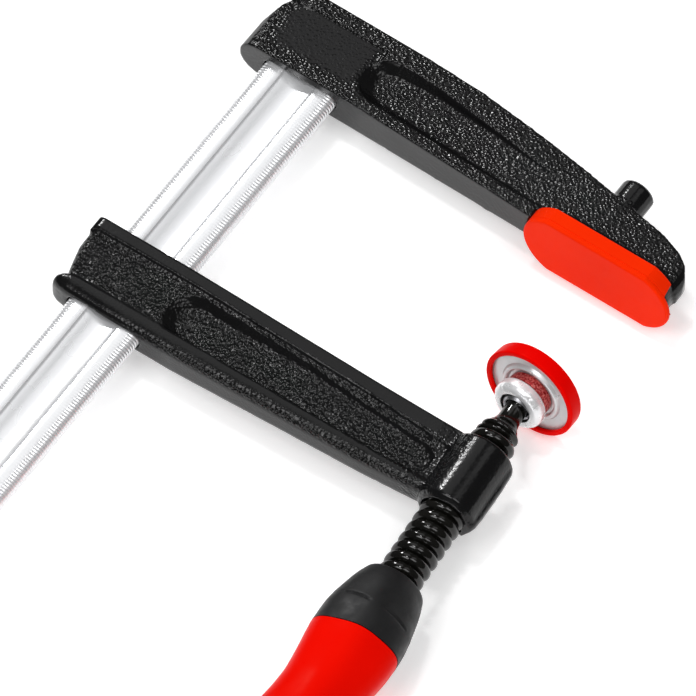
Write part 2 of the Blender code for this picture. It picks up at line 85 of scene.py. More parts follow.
# Studio: a softbox is its azimuth and elevation in degrees, distance and size in metres, radiance
WORLD_STRENGTH = 0.1
FLOOR_HALF = 3.0
FLOOR_GAP = 0.0005
FLOOR_GLOW = 0.4
SOFTBOXES = [
    ("behind", 214.9, 57.9, 2.0, (1.0, 1.0), 0.85),
    ("left_key", 235.6, 39.3, 1.2, (0.12, 0.12), 100.0),
    ("top_key", -80.0, 83.4, 1.2, (0.12, 0.12), 45.0),
    ("behind_right", 145.0, 58.0, 2.0, (0.5, 0.8), 1.0),
    ("right_fill", 75.0, 62.0, 1.8, (0.8, 0.8), 4.0),
    ("left_fill", -10.0, 60.0, 1.8, (0.8, 0.8), 6.0),
    ("front_fill", 8.0, 8.0, 1.8, (1.2, 0.5), 3.5),
]

# Rail
PAD_REACH = 4.5  # fixed arm's inner face to the jaw's face
SERRATION_PITCH = 1.0
SERRATION_DEPTH = 0.24
RAIL_STEP = 0.125
RAIL_CHAMFER = 0.5
GROOVE_HALF = 5.5
GROOVE_STEP = 0.35
GROOVE_DEPTH = 1.5
PIN_WALL = 0.7
PIN_CHAMFER = 0.3

# Castings
VOXEL = 0.42
SOFTEN_ROUNDS = 4
PEBBLES_PER_MM = 0.887097
PEBBLE_HEIGHT = 0.07
LEAST_PEBBLE = 0.06
SWELLS_PER_MM = 0.11
SWELL_HEIGHT = 0.03
SKIN_DROP = 0.03
FLANGE_FOOT = 20.1
FLANGE_FOOT_WIDTH = 0.45
FLANGE_FOOT_DEPTH = 0.55

# Fixed jaw pad
PAD_LENGTH = 51.0
PAD_WIDTH = 25.2
PAD_STRAIGHT = 34.5
PAD_HEIGHT = 6.0
PAD_FACE = 2.7
PAD_WALL = 1.8
PAD_ROUNDING = 0.9
NOTCH_HALF_TOP = 8.3
NOTCH_HALF_BOTTOM = 7.4
NOTCH_LOW = 1.6
NOTCH_CORNER = 0.6

# Spindle
THREAD_RADIUS = 7.0
THREAD_DEPTH = 2.0
THREAD_PITCH = 4.0
THREAD_ROWS = 28
THREAD_FADE = 4.0
THREAD_SHIFT = 0.5
THREAD_END = -14.8
THREAD_START = -74.2
SHANK_RADIUS = 5.0
SHANK_END = -137.0
BALL_RADIUS = 4.6
NECK_RADIUS = 3.4
ROUND_STEPS = 96

# Swivel plate
PLATE_BACK = 4.6
PLATE_FACE = 6.5
PLATE_RADIUS = 14.1
PLATE_STEPS = 144
TOOL_MARKS = 18.0
TOOL_MARK_DEPTH = 0.16

# Handle
HANDLE_BORE = 5.3
HANDLE_GAP = 0.3
COLLAR_TOP = -72.4
COLLAR_END = -96.3
COLLAR_END_RADIUS = 14.5
COLLAR_SLANT = 1.5
COLLAR_LOW_SIDE = 197.7
BODY_END = -184.0
HANDLE_END = -191.0
HANDLE_SIDES = 6
HANDLE_FLATTENING = 0.04
HANDLE_TURN = -17.0
HANDLE_STEPS = 144
CREASE_HEIGHT = -87.0
CREASE_HALF_ANGLE = 22.0
CREASE_DROP = 0.5
CREASE_DEPTH = 0.4


def axes_at(origin, forward):
    """Local axes at a point in metres: z runs forward and y as near straight down as it can."""
    z = Vector(forward).normalized()
    down = Vector((0.0, 0.0, -1.0))
    y = (down - z * down.dot(z)).normalized()
    turn = Matrix((y.cross(z), y, z)).transposed().to_4x4()
    return Matrix.Translation(origin) @ turn


rail_low, rail_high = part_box("rail")
RAIL_AXES = Matrix.Translation(((rail_low.x + rail_high.x) / 2, PAD_REACH * MM, 0.0))
JAW_AXES = Matrix.Identity(4)
SPINDLE_AXES = axes_at(BALL, JOINTS["spindle_turn"]["axis"])
PLATE_AXES = axes_at(BALL, MOUNTS["swivel_pad_face"]["axis"])


# ---------------------------------------------------------------- shapes


def arc(centre, radius, start, end, steps):
    """Points round an arc, from start to end in degrees."""
    angles = [math.radians(start + (end - start) * i / steps) for i in range(steps + 1)]
    return [(centre[0] + radius * math.cos(a), centre[1] + radius * math.sin(a)) for a in angles]


def rounded(points, reach, steps=5, closed=True):
    """An outline with its corners softened. A point may carry its own reach as a third number."""
    most_of_side = 0.48
    count = len(points)
    soft = []
    for i, point in enumerate(points):
        corner = Vector(point[:2])
        if not closed and i in (0, count - 1):
            soft.append(tuple(corner))
            continue
        own = point[2] if len(point) > 2 else reach
        back = Vector(points[i - 1][:2]) - corner
        ahead = Vector(points[(i + 1) % count][:2]) - corner
        start = corner + back.normalized() * min(own, most_of_side * back.length)
        end = corner + ahead.normalized() * min(own, most_of_side * ahead.length)
        if own < 1e-6:
            soft.append(tuple(corner))
            continue
        for k in range(steps + 1):
            t = k / steps
            soft.append(tuple(start * (1 - t) ** 2 + corner * 2 * t * (1 - t) + end * t * t))
    return soft


def bridge(rings):
    """A closed body through rings of the same number of points, with a face over each end."""
    mesh = bmesh.new()
    rows = [[mesh.verts.new(point) for point in ring] for ring in rings]
    count = len(rings[0])
    for lower, upper in zip(rows, rows[1:]):
        for i in range(count):
            j = (i + 1) % count
            mesh.faces.new((lower[i], lower[j], upper[j], upper[i]))
    mesh.faces.new(rows[0][::-1])
    mesh.faces.new(rows[-1])
    return mesh


def turned(profile, segments=ROUND_STEPS, closed=False, shape=None, lift=None):
    """A profile of (radius, height) turned about z. Its ends lie on the axis unless it is a closed loop.

    shape and lift give what to add to the radius and to the height at an angle.
    """
    mesh = bmesh.new()
    rows = []
    for radius, height in profile:
        if radius < 1e-6:
            rows.append([mesh.verts.new((0.0, 0.0, height))])
            continue
        row = []
        for i in range(segments):
            angle = 2.0 * math.pi * i / segments
            reach = radius + (shape(angle, radius, height) if shape else 0.0)
            rise = lift(angle, radius, height) if lift else 0.0
            place = (reach * math.cos(angle), reach * math.sin(angle), height + rise)
            row.append(mesh.verts.new(place))
        rows.append(row)
    pairs = list(zip(rows, rows[1:]))
    if closed:
        pairs.append((rows[-1], rows[0]))
    for lower, upper in pairs:
        for i in range(segments):
            j = (i + 1) % segments
            here = [row[i % len(row)] for row in (lower, upper)]
            beside = [row[j % len(row)] for row in (lower, upper)]
            face = list(dict.fromkeys((here[0], *beside, here[1])))
            if len(face) > 2:
                mesh.faces.new(face)
    return mesh


def refined(profile, step):
    """A profile with points added so that none lies further than step from the next."""
    fine = []
    for start, end in zip(profile, profile[1:]):
        count = max(1, round(math.dist(start, end) / step))
        fine += [tuple(a + (b - a) * i / count for a, b in zip(start, end)) for i in range(count)]
    return fine + [profile[-1]]


def smooth_curve(points, steps=8):
    """A smooth line through points, from one to the next by Catmull-Rom."""
    ends = [points[0]] + list(points) + [points[-1]]
    line = []
    for i in range(1, len(ends) - 2):
        a, b, c, d = (Vector(p) for p in ends[i - 1:i + 3])
        for k in range(steps):
            t = k / steps
            squared = (2 * a - 5 * b + 4 * c - d) * t * t
            cubed = (3 * b - a - 3 * c + d) * t ** 3
            line.append(tuple((2 * b + (c - a) * t + squared + cubed) / 2))
    return line + [tuple(points[-1])]


def add_object(name, mesh, axes, sharp=40.0):
    """An object from a bmesh in millimetres in local axes, shaded smooth up to the angle sharp."""
    bmesh.ops.remove_doubles(mesh, verts=mesh.verts, dist=1e-4)
    bmesh.ops.recalc_face_normals(mesh, faces=mesh.faces)
    mesh.transform(axes @ Matrix.Scale(MM, 4))
    data = bpy.data.meshes.new(name)
    mesh.to_mesh(data)
    mesh.free()
    data.shade_smooth()
    data.set_sharp_from_angle(angle=math.radians(sharp))
    made = bpy.data.objects.new(name, data)
    bpy.context.scene.collection.objects.link(made)
    return made


def settle(piece):
    """Applies a piece's modifiers."""
    bpy.context.view_layer.update()
    evaluated = piece.evaluated_get(bpy.context.evaluated_depsgraph_get())
    final = bpy.data.meshes.new_from_object(evaluated)
    piece.modifiers.clear()
    piece.data = final


def cut(piece, tool):
    """Cuts one body out of a piece and removes it."""
    step = piece.modifiers.new(tool.name, "BOOLEAN")
    step.operation = "DIFFERENCE"
    step.solver = "EXACT"
    step.object = tool
    settle(piece)
    bpy.data.objects.remove(tool, do_unlink=True)


def dress(piece, node, body, slot, *materials):
    """Gives a piece its materials and puts it on its body in place of a CAD node."""
    piece.data.materials.clear()
    for material in materials:
        piece.data.materials.append(material)
    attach(piece, body)
    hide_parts(node)


def smoothstep(low, high, value):
    """Rises smoothly from 0 at low to 1 at high, for arrays."""
    t = np.clip((value - low) / (high - low), 0.0, 1.0)
    return t * t * (3.0 - 2.0 * t)


# ---------------------------------------------------------------- materials


def new_material(name, colour, roughness, metallic=0.0, **extra):
    """A Principled material. extra holds more sockets, with _ for a space in the socket's name."""
    made = bpy.data.materials.new(name)
    made.use_nodes = True
    shader = made.node_tree.nodes["Principled BSDF"]
    shader.inputs["Base Color"].default_value = (*colour, 1.0)
    shader.inputs["Roughness"].default_value = roughness
    shader.inputs["Metallic"].default_value = metallic
    for socket, value in extra.items():
        shader.inputs[socket.replace("_", " ")].default_value = value
    return made, shader


def noise_field(material, scale, detail=3.0, stretch=(1.0, 1.0, 1.0), rough=0.5):
    """A noise texture in the object's own space. scale is in cells per metre."""
    nodes, links = material.node_tree.nodes, material.node_tree.links
    place = nodes.new("ShaderNodeTexCoord")
    mapping = nodes.new("ShaderNodeMapping")
    mapping.inputs["Scale"].default_value = stretch
    field = nodes.new("ShaderNodeTexNoise")
    field.inputs["Scale"].default_value = scale
    field.inputs["Detail"].default_value = detail
    field.inputs["Roughness"].default_value = rough
    links.new(place.outputs["Object"], mapping.inputs["Vector"])
    links.new(mapping.outputs["Vector"], field.inputs["Vector"])
    return field.outputs["Fac"]


def cell_field(material, scale, smoothness=0.6):
    """Smooth rounded cells in the object's own space."""
    nodes, links = material.node_tree.nodes, material.node_tree.links
    place = nodes.new("ShaderNodeTexCoord")
    field = nodes.new("ShaderNodeTexVoronoi")
    field.feature = "SMOOTH_F1"
    field.inputs["Scale"].default_value = scale
    field.inputs["Smoothness"].default_value = smoothness
    links.new(place.outputs["Object"], field.inputs["Vector"])
    return field.outputs["Distance"]


def spread(material, source, low, high, start=0.3, end=0.7):
    """Maps a field from start..end to low..high."""
    mapped = material.node_tree.nodes.new("ShaderNodeMapRange")
    mapped.inputs["From Min"].default_value = start
    mapped.inputs["From Max"].default_value = end
    mapped.inputs["To Min"].default_value = low
    mapped.inputs["To Max"].default_value = high
    material.node_tree.links.new(source, mapped.inputs["Value"])
    return mapped.outputs["Result"]


def blend_colours(material, factor, first, second):
    """Runs from the first colour to the second as factor goes from 0 to 1."""
    mix = material.node_tree.nodes.new("ShaderNodeMix")
    mix.data_type = "RGBA"
    mix.inputs["A"].default_value = (*first, 1.0)
    mix.inputs["B"].default_value = (*second, 1.0)
    material.node_tree.links.new(factor, mix.inputs["Factor"])
    return mix.outputs["Result"]


def add_bump(material, shader, height, strength, distance):
    """Adds a bump of a height field to any bump already there. distance is in millimetres."""
    links = material.node_tree.links
    bump = material.node_tree.nodes.new("ShaderNodeBump")
    bump.inputs["Distance"].default_value = distance * MM
    if isinstance(strength, float):
        bump.inputs["Strength"].default_value = strength
    else:
        links.new(strength, bump.inputs["Strength"])
    links.new(height, bump.inputs["Height"])
    if shader.inputs["Normal"].links:
        links.new(shader.inputs["Normal"].links[0].from_socket, bump.inputs["Normal"])
    links.new(bump.outputs["Normal"], shader.inputs["Normal"])


def plug(material, shader, socket, source):
    """Links a field to one of the shader's sockets."""
    material.node_tree.links.new(source, shader.inputs[socket])


def casting_material():
    """Black coat over a pebbled casting. The mesh's pebble attribute says how rough the skin is."""
    made, shader = new_material("black_powder_coat", (0.004, 0.004, 0.004), 0.2, IOR=1.36)
    attribute = made.node_tree.nodes.new("ShaderNodeAttribute")
    attribute.attribute_name = "pebble"
    pebble = attribute.outputs["Fac"]
    colour = blend_colours(made, pebble, (0.0045, 0.0045, 0.0048), (0.0025, 0.0025, 0.0025))
    plug(made, shader, "Base Color", colour)
    patches = noise_field(made, 260.0, 3.0)
    plug(made, shader, "Roughness", spread(made, patches, 0.14, 0.24))
    domes = spread(made, cell_field(made, 1050.0, 0.3), 1.0, 0.0, 0.0, 0.8)
    add_bump(made, shader, domes, pebble, 0.5)
    fine = noise_field(made, 2400.0, 2.0)
    add_bump(made, shader, fine, spread(made, pebble, 0.12, 0.5, 0.0, 1.0), 0.06)
    return made


def rail_material():
    """Bright zinc with fine lengthwise grain."""
    made, shader = new_material("bright_zinc", (0.86, 0.87, 0.89), 0.3, 0.5)
    grain = noise_field(made, 1600.0, 4.0, (1.0, 0.03, 1.0), 0.6)
    cloud = noise_field(made, 90.0, 3.0, (1.0, 0.35, 1.0))
    colour = blend_colours(made, cloud, (0.9, 0.905, 0.92), (0.8, 0.81, 0.83))
    plug(made, shader, "Base Color", colour)
    plug(made, shader, "Roughness", spread(made, cloud, 0.22, 0.36))
    add_bump(made, shader, grain, 0.35, 0.02)
    add_bump(made, shader, noise_field(made, 2600.0, 2.0), 0.25, 0.015)
    return made


def plated_material(name, light, dark, roughness, grain=1500.0, bump=0.2, metallic=1.0):
    """Plated sheet steel, slightly cloudy."""
    made, shader = new_material(name, light, roughness, metallic)
    cloud = noise_field(made, 320.0, 4.0)
    plug(made, shader, "Base Color", blend_colours(made, cloud, light, dark))
    plug(made, shader, "Roughness", spread(made, cloud, 0.75 * roughness, 1.25 * roughness))
    add_bump(made, shader, noise_field(made, grain, 3.0), bump, 0.03)
    return made


def speckled_red_material():
    """The socket's neck: red lacquer over steel, with dark and bright specks."""
    made, shader = new_material("speckled_red_lacquer", (0.5, 0.02, 0.02), 0.25, 0.65)
    specks = noise_field(made, 1700.0, 2.0)
    share = spread(made, specks, 0.0, 1.0, 0.42, 0.62)
    colour = blend_colours(made, share, (0.38, 0.008, 0.012), (0.85, 0.22, 0.2))
    plug(made, shader, "Base Color", colour)
    add_bump(made, shader, specks, 0.5, 0.05)
    return made


def spindle_material():
    """Oiled black oxide on rolled steel."""
    made, shader = new_material("oiled_black_steel", (0.004, 0.004, 0.004), 0.12, IOR=1.42)
    film = noise_field(made, 420.0, 3.0)
    colour = blend_colours(made, film, (0.002, 0.002, 0.002), (0.007, 0.0065, 0.005))
    plug(made, shader, "Base Color", colour)
    plug(made, shader, "Roughness", spread(made, film, 0.07, 0.16))
    add_bump(made, shader, noise_field(made, 1500.0, 3.0), 0.3, 0.04)
    return made


def plastic_material(name, colour, shade, roughness, grain=2200.0, bump=0.12, **extra):
    """Moulded plastic: faint colour change, fine moulding texture."""
    made, shader = new_material(name, colour, roughness, **extra)
    cloud = noise_field(made, 55.0, 2.0)
    plug(made, shader, "Base Color", blend_colours(made, cloud, colour, shade))
    smears = noise_field(made, 400.0)
    plug(made, shader, "Roughness", spread(made, smears, 0.85 * roughness, 1.15 * roughness))
    add_bump(made, shader, noise_field(made, grain, 2.0), bump, 0.03)
    return made


RED_SHEEN = {"IOR": 1.4, "Specular_IOR_Level": 0.03, "Specular_Tint": (1.0, 0.5, 0.2, 1.0)}
CASTING = casting_material()
ZINC = rail_material()
SPRING_STEEL = plated_material("spring_steel", (0.42, 0.42, 0.44), (0.3, 0.3, 0.32), 0.35)
COLLAR_ZINC = plated_material(
    "crimped_zinc", (0.93, 0.93, 0.94), (0.8, 0.8, 0.82), 0.3, grain=900.0, bump=0.4, metallic=0.45
)
# Painted shade: a near-black coat for the inside of the socket's cavity and mouth, standing in for the shade that
# falls there.
BORE_PAINTED_SHADE = plated_material("bore_painted_shade", (0.02, 0.02, 0.02), (0.012, 0.012, 0.012), 0.3)
PLATE_ZINC = plated_material(
    "satin_zinc_plate", (0.66, 0.67, 0.68), (0.6, 0.61, 0.62), 0.36, metallic=0.5
)
NECK_RED = speckled_red_material()
OILED = spindle_material()
PAD_RED = plastic_material(
    "orange_red_pad", (0.95, 0.03, 0.001), (0.86, 0.018, 0.001), 0.4, **RED_SHEEN
)
CAP_RED = plastic_material("red_cap", (0.86, 0.001, 0.0005), (0.76, 0.001, 0.0005), 0.36, **RED_SHEEN)
BODY_RED = plastic_material("red_handle", (0.86, 0.004, 0.0005), (0.8, 0.003, 0.0005), 0.32, **RED_SHEEN)
SOFT_BLACK = plastic_material(
    "soft_touch_black", (0.009, 0.009, 0.0095), (0.007, 0.007, 0.0075), 0.5, grain=1800.0, bump=0.25, IOR=1.36
)
SEAT_BLACK = plastic_material("seat_plastic", (0.04, 0.04, 0.04), (0.03, 0.03, 0.03), 0.45)


# ---------------------------------------------------------------- rail


def rail_section():
    """The rail's section, finely stepped round its edges and into its grooves."""
    half_width = (rail_high.x - rail_low.x) / MM / 2
    half = rail_high.z / MM
    edge = half_width - half
    right = arc((edge, 0.0), half, -90.0, 90.0, 20)
    left = arc((-edge, 0.0), half, 90.0, 270.0, 20)
    hollow = []
    for i in range(17):
        share = 1.0 - 2.0 * i / 16
        depth = GROOVE_STEP + (GROOVE_DEPTH - GROOVE_STEP) * (1.0 - share ** 2)
        hollow.append((GROOVE_HALF * share, half - depth))
    lip = [(GROOVE_HALF + 1.6, half), (GROOVE_HALF + 0.3, half), (GROOVE_HALF + 0.1, half - 0.1)]
    top = lip + hollow + [(-x, z) for x, z in reversed(lip)]
    bottom = [(-x, -z) for x, z in top]
    return right + top + left + bottom, edge, half


def make_rail():
    """The grooved rail with fine serrations across its round edges."""
    section, edge, half = rail_section()
    low = rail_low.y / MM - PAD_REACH
    high = rail_high.y / MM - PAD_REACH
    count = round((high - low) / RAIL_STEP)
    rings = []
    for i in range(count + 1):
        y = low + (high - low) * i / count
        end = max(0.0, RAIL_CHAMFER - min(y - low, high - y))
        ring = []
        for x, z in section:
            on_edge = max(0.0, abs(x) - edge) / half
            wave = 0.5 + 0.5 * math.cos(2.0 * math.pi * (y / SERRATION_PITCH + 0.05 * z * z))
            depth = SERRATION_DEPTH * min(1.0, 4.0 * on_edge) * (1.0 - wave ** 0.5)
            if on_edge > 0.0:
                x -= math.copysign(depth * on_edge, x)
                z -= depth * z / half
            if abs(x) > edge:
                x -= math.copysign(end, x)
            ring.append((x, y, z * (1.0 - end / half)))
        rings.append(ring)
    rail = add_object("zinc_rail", bridge(rings), RAIL_AXES, 50.0)
    dress(rail, "rail", "frame", "rail_steel", ZINC)


def make_stop_pin():
    """A slotted spring pin through the rail's lower end."""
    low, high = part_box("rail_end_pin")
    centre = (low + high) / 2
    radius = (high.x - low.x) / MM / 2
    half = (high.z - low.z) / MM / 2
    outside = arc((0.0, 0.0), radius, 20.0, 340.0, 40)
    inside = arc((0.0, 0.0), radius - PIN_WALL, 340.0, 20.0, 40)
    outline = rounded(outside + inside, 0.12, 2)
    narrow = 1.0 - PIN_CHAMFER / radius
    straight = half - PIN_CHAMFER
    levels = [(-half, narrow), (-straight, 1.0), (straight, 1.0), (half, narrow)]
    rings = [[(x * scale, y * scale, z) for x, y in outline] for z, scale in levels]
    pin = add_object("slotted_end_pin", bridge(rings), Matrix.Translation(centre))
    dress(pin, "rail_end_pin", "frame", "pin_steel", SPRING_STEEL)


# ---------------------------------------------------------------- castings


def cast_piece(name, node, pebble_mask, crease=None, extra=None):
    """A casting made from its CAD node: fused with an extra body, softened all over, then pebbled."""
    mesh = bmesh.new()
    mesh.from_mesh(frame["nodes"][node].data)
    if extra:
        mesh.from_mesh(extra.data)
        bpy.data.objects.remove(extra, do_unlink=True)
    data = bpy.data.meshes.new(name)
    mesh.to_mesh(data)
    mesh.free()
    piece = bpy.data.objects.new(name, data)
    bpy.context.scene.collection.objects.link(piece)
    remesh = piece.modifiers.new("remesh", "REMESH")
    remesh.mode = "VOXEL"
    remesh.voxel_size = VOXEL * MM
    soften = piece.modifiers.new("soften", "SMOOTH")
    soften.factor = 0.5
    soften.iterations = SOFTEN_ROUNDS
    settle(piece)
    count = len(piece.data.vertices)
    places = np.empty(count * 3)
    normals = np.empty(count * 3)
    piece.data.vertices.foreach_get("co", places)
    piece.data.vertices.foreach_get("normal", normals)
    places = places.reshape(-1, 3)
    normals = normals.reshape(-1, 3)
    local = places / MM - np.array(RAIL_AXES.translation) / MM
    mask = pebble_mask(local, normals)
    pebbles = np.array([noise.noise(Vector(point) * PEBBLES_PER_MM) for point in local])
    swells = np.array([noise.noise(Vector(point) * SWELLS_PER_MM) for point in local])
    height = PEBBLE_HEIGHT * pebbles * mask + SWELL_HEIGHT * swells - SKIN_DROP
    if crease:
        height -= crease(local, normals)
    places += normals * height[:, None] * MM
    piece.data.vertices.foreach_set("co", places.ravel())
    attribute = piece.data.attributes.new("pebble", "FLOAT", "POINT")
    attribute.data.foreach_set("value", mask.astype(np.float32))
    piece.data.update()
    piece.data.shade_smooth()
    return piece


def fixed_arm_mask(local, normals):
    """Pebbled on the broad sides, smooth on the bulge round the rail, the lug and the walls."""
    x, y = local[:, 0], local[:, 1]
    side = smoothstep(0.72, 0.92, np.abs(normals[:, 2]))
    bulge = smoothstep(-17.0, -10.0, x) * (1.0 - smoothstep(12.5, 15.0, x)) * smoothstep(2.5, 7.5, y)
    bulge *= 1.0 - smoothstep(19.6, 20.4, y)
    back = smoothstep(0.3, 0.7, normals[:, 1])
    lug = smoothstep(96.5, 97.5, x) * (1.0 - smoothstep(108.8, 109.8, x)) * smoothstep(19.3, 20.3, y)
    pebbled = 0.48 * side * (1.0 - 0.7 * bulge) + 0.25 * back
    return np.clip(pebbled * (1.0 - lug), LEAST_PEBBLE, 1.0)


def fixed_arm_crease(local, normals):
    """How far the skin dips along the foot of the upper flange."""
    x, y = local[:, 0], local[:, 1]
    along = smoothstep(-13.0, -8.0, x) * (1.0 - smoothstep(16.0, 18.5, x))
    across = np.exp(-((y - FLANGE_FOOT) / FLANGE_FOOT_WIDTH) ** 2)
    return FLANGE_FOOT_DEPTH * along * across * smoothstep(0.4, 0.7, np.abs(normals[:, 2]))


def sliding_arm_mask(local, normals):
    """Pebbled in the waist and the pockets, smooth on the two rims, the walls and the boss."""
    x, y = local[:, 0], local[:, 1]
    side = np.abs(normals[:, 2])
    between = smoothstep(-93.6, -92.2, y) * (1.0 - smoothstep(-78.4, -77.0, y))
    between *= smoothstep(0.72, 0.92, side)
    along = 1.0 - smoothstep(103.0, 108.0, x)
    boss = 0.34 * smoothstep(100.0, 104.0, x) * (1.0 - smoothstep(111.0, 116.0, x))
    rounding = smoothstep(0.15, 0.4, side) * (1.0 - smoothstep(0.8, 0.97, side))
    under = smoothstep(-6.0, 30.0, x) * (1.0 - smoothstep(-94.5, -93.5, y)) * rounding
    rear = (1.0 - smoothstep(-16.5, -15.0, x)) * smoothstep(-91.0, -88.0, y)
    rear *= 1.0 - smoothstep(-79.0, -77.5, y)
    coarse = along * np.maximum(0.85 * np.maximum(between, under), 0.8 * rear)
    return np.clip(np.maximum(coarse, boss), LEAST_PEBBLE, 1.0)


def make_castings():
    """Both arms. The sliding arm gets a low ridge along the outer side of its boss."""
    fixed = cast_piece("fixed_arm_casting", "fixed_arm", fixed_arm_mask, fixed_arm_crease)
    dress(fixed, "fixed_arm", "frame", "black_casting", CASTING)
    foot, foot_half, crest_half = 6.0, 6.6, 0.9
    sections = []
    for z, reach in [(-21.5, 9.6), (-23.0, 10.2), (-30.0, 10.5), (-40.0, 10.4), (-44.0, 10.1), (-45.5, 9.4)]:
        low_side = [(foot, -foot_half, z), (reach, -crest_half, z)]
        high_side = [(reach, crest_half, z), (foot, foot_half, z)]
        sections.append(low_side + high_side)
    ridge = add_object("ridge", bridge(sections), SPINDLE_AXES)
    sliding = cast_piece("sliding_arm_casting", "sliding_arm", sliding_arm_mask, extra=ridge)
    dress(sliding, "sliding_arm", "slider", "black_casting", CASTING)


# ---------------------------------------------------------------- fixed jaw pad


def jaw_plan(inset, steps=40):
    """The jaw seen from the work: straight sides and shallow round ends, with soft corners between them."""
    bulge = (PAD_LENGTH - PAD_STRAIGHT) / 2
    half = PAD_WIDTH / 2
    radius = (half * half + bulge * bulge) / (2 * bulge)
    centre = PAD_LENGTH / 2 - radius
    reach = radius - inset
    swing = math.degrees(math.asin((half - inset) / reach))
    right = arc((centre, 0.0), reach, -swing, swing, steps)
    return right + arc((-centre, 0.0), reach, 180.0 - swing, 180.0 + swing, steps)


def make_jaw_pad():
    """A plastic cap with a soft-edged face, a faint groove round its wall and a notch at the tip."""
    levels = [(0.02, 3.0), (0.0, 1.6)]
    levels += arc((PAD_ROUNDING, PAD_ROUNDING), PAD_ROUNDING, 180.0, 270.0, 10)
    levels += [(1.3, 0.0), (1.4, 0.16), (1.6, 0.2), (1.8, 0.0)]
    levels += [(PAD_HEIGHT - 0.25, 0.0), (PAD_HEIGHT, 0.25), (PAD_HEIGHT, PAD_WALL), (PAD_FACE, PAD_WALL)]
    rings = [[(x, y, z) for x, z in jaw_plan(inset)] for y, inset in levels]
    pad = add_object("red_jaw_pad", bridge(rings), JAW_AXES)
    low, high = NOTCH_LOW, PAD_HEIGHT + 1.0
    section = [(low, -NOTCH_HALF_BOTTOM, NOTCH_CORNER), (high, -NOTCH_HALF_TOP)]
    section += [(high, NOTCH_HALF_TOP), (low, NOTCH_HALF_BOTTOM, NOTCH_CORNER)]
    outline = rounded(section, 0.01, 4)
    ends = (PAD_LENGTH / 2 - 5.0, PAD_LENGTH / 2 + 5.0)
    notch = bridge([[(x, y, z) for y, z in outline] for x in ends])
    cut(pad, add_object("notch", notch, JAW_AXES))
    pad.data.shade_smooth()
    pad.data.set_sharp_from_angle(angle=math.radians(16.0))
    dress(pad, "fixed_jaw_pad", "frame", "red_pad", PAD_RED)


# ---------------------------------------------------------------- spindle


def thread_radius(angle, height):
    """A rolled right-hand thread: round crests and wider round roots, fading out towards the neck."""
    turn = ((height + THREAD_SHIFT) / THREAD_PITCH - angle / (2.0 * math.pi)) % 1.0
    off_crest = 2.0 * min(turn, 1.0 - turn)
    crest = (1.0 - off_crest ** 2.4) ** 0.6
    fade = max(0.0, min(1.0, (THREAD_END + 2.2 - height) / THREAD_FADE))
    return THREAD_RADIUS - THREAD_DEPTH * (1.0 - crest) - 0.9 * (1.0 - fade) * crest


def make_spindle():
    """One steel piece: shank, rolled thread, run-out rings, waisted neck and ball."""
    angles = [2.0 * math.pi * i / ROUND_STEPS for i in range(ROUND_STEPS)]
    rings = []

    def add_ring(height, radius_at):
        """Adds a ring of points whose radius may change with the angle."""
        rings.append([(radius_at(a) * math.cos(a), radius_at(a) * math.sin(a), height) for a in angles])

    for height, radius in [(SHANK_END, SHANK_RADIUS - 0.5), (SHANK_END + 0.5, SHANK_RADIUS)]:
        add_ring(height, lambda a, r=radius: r)
    add_ring(THREAD_START - 0.6, lambda a: SHANK_RADIUS)
    count = round((THREAD_END - THREAD_START) / THREAD_PITCH * THREAD_ROWS)
    for i in range(count + 1):
        height = THREAD_START + (THREAD_END - THREAD_START) * i / count
        add_ring(height, lambda a, h=height: thread_radius(a, h))
    neck = [(-14.4, 5.2), (-14.0, 5.05), (-13.6, 5.3), (-13.1, 5.9), (-12.7, 6.05), (-12.3, 5.9)]
    neck += [(-11.8, 5.3), (-11.3, 5.05), (-10.6, 4.66), (-9.6, 4.0), (-8.3, 3.6)]
    neck += [(-6.5, NECK_RADIUS), (-4.0, NECK_RADIUS)]
    for height, radius in smooth_curve(neck, 4):
        add_ring(height, lambda a, r=radius: r)
    meet = math.degrees(math.acos(NECK_RADIUS / BALL_RADIUS))
    for radius, height in arc((0.0, 0.0), BALL_RADIUS, -meet, 84.0, 28):
        add_ring(height, lambda a, r=radius: r)
    spindle = add_object("threaded_spindle", bridge(rings), SPINDLE_AXES, 60.0)
    dress(spindle, "spindle", "screw", "black_spindle", OILED)


# ---------------------------------------------------------------- swivel plate


def shell_loop(inner, outer, start, end, steps=24):
    """A thin spherical shell between two angles from the axis, as a closed profile."""
    outside = [(r, z) for z, r in arc((0.0, 0.0), outer, start, end, steps)]
    return outside + [(r, z) for z, r in arc((0.0, 0.0), inner, end, start, steps)]


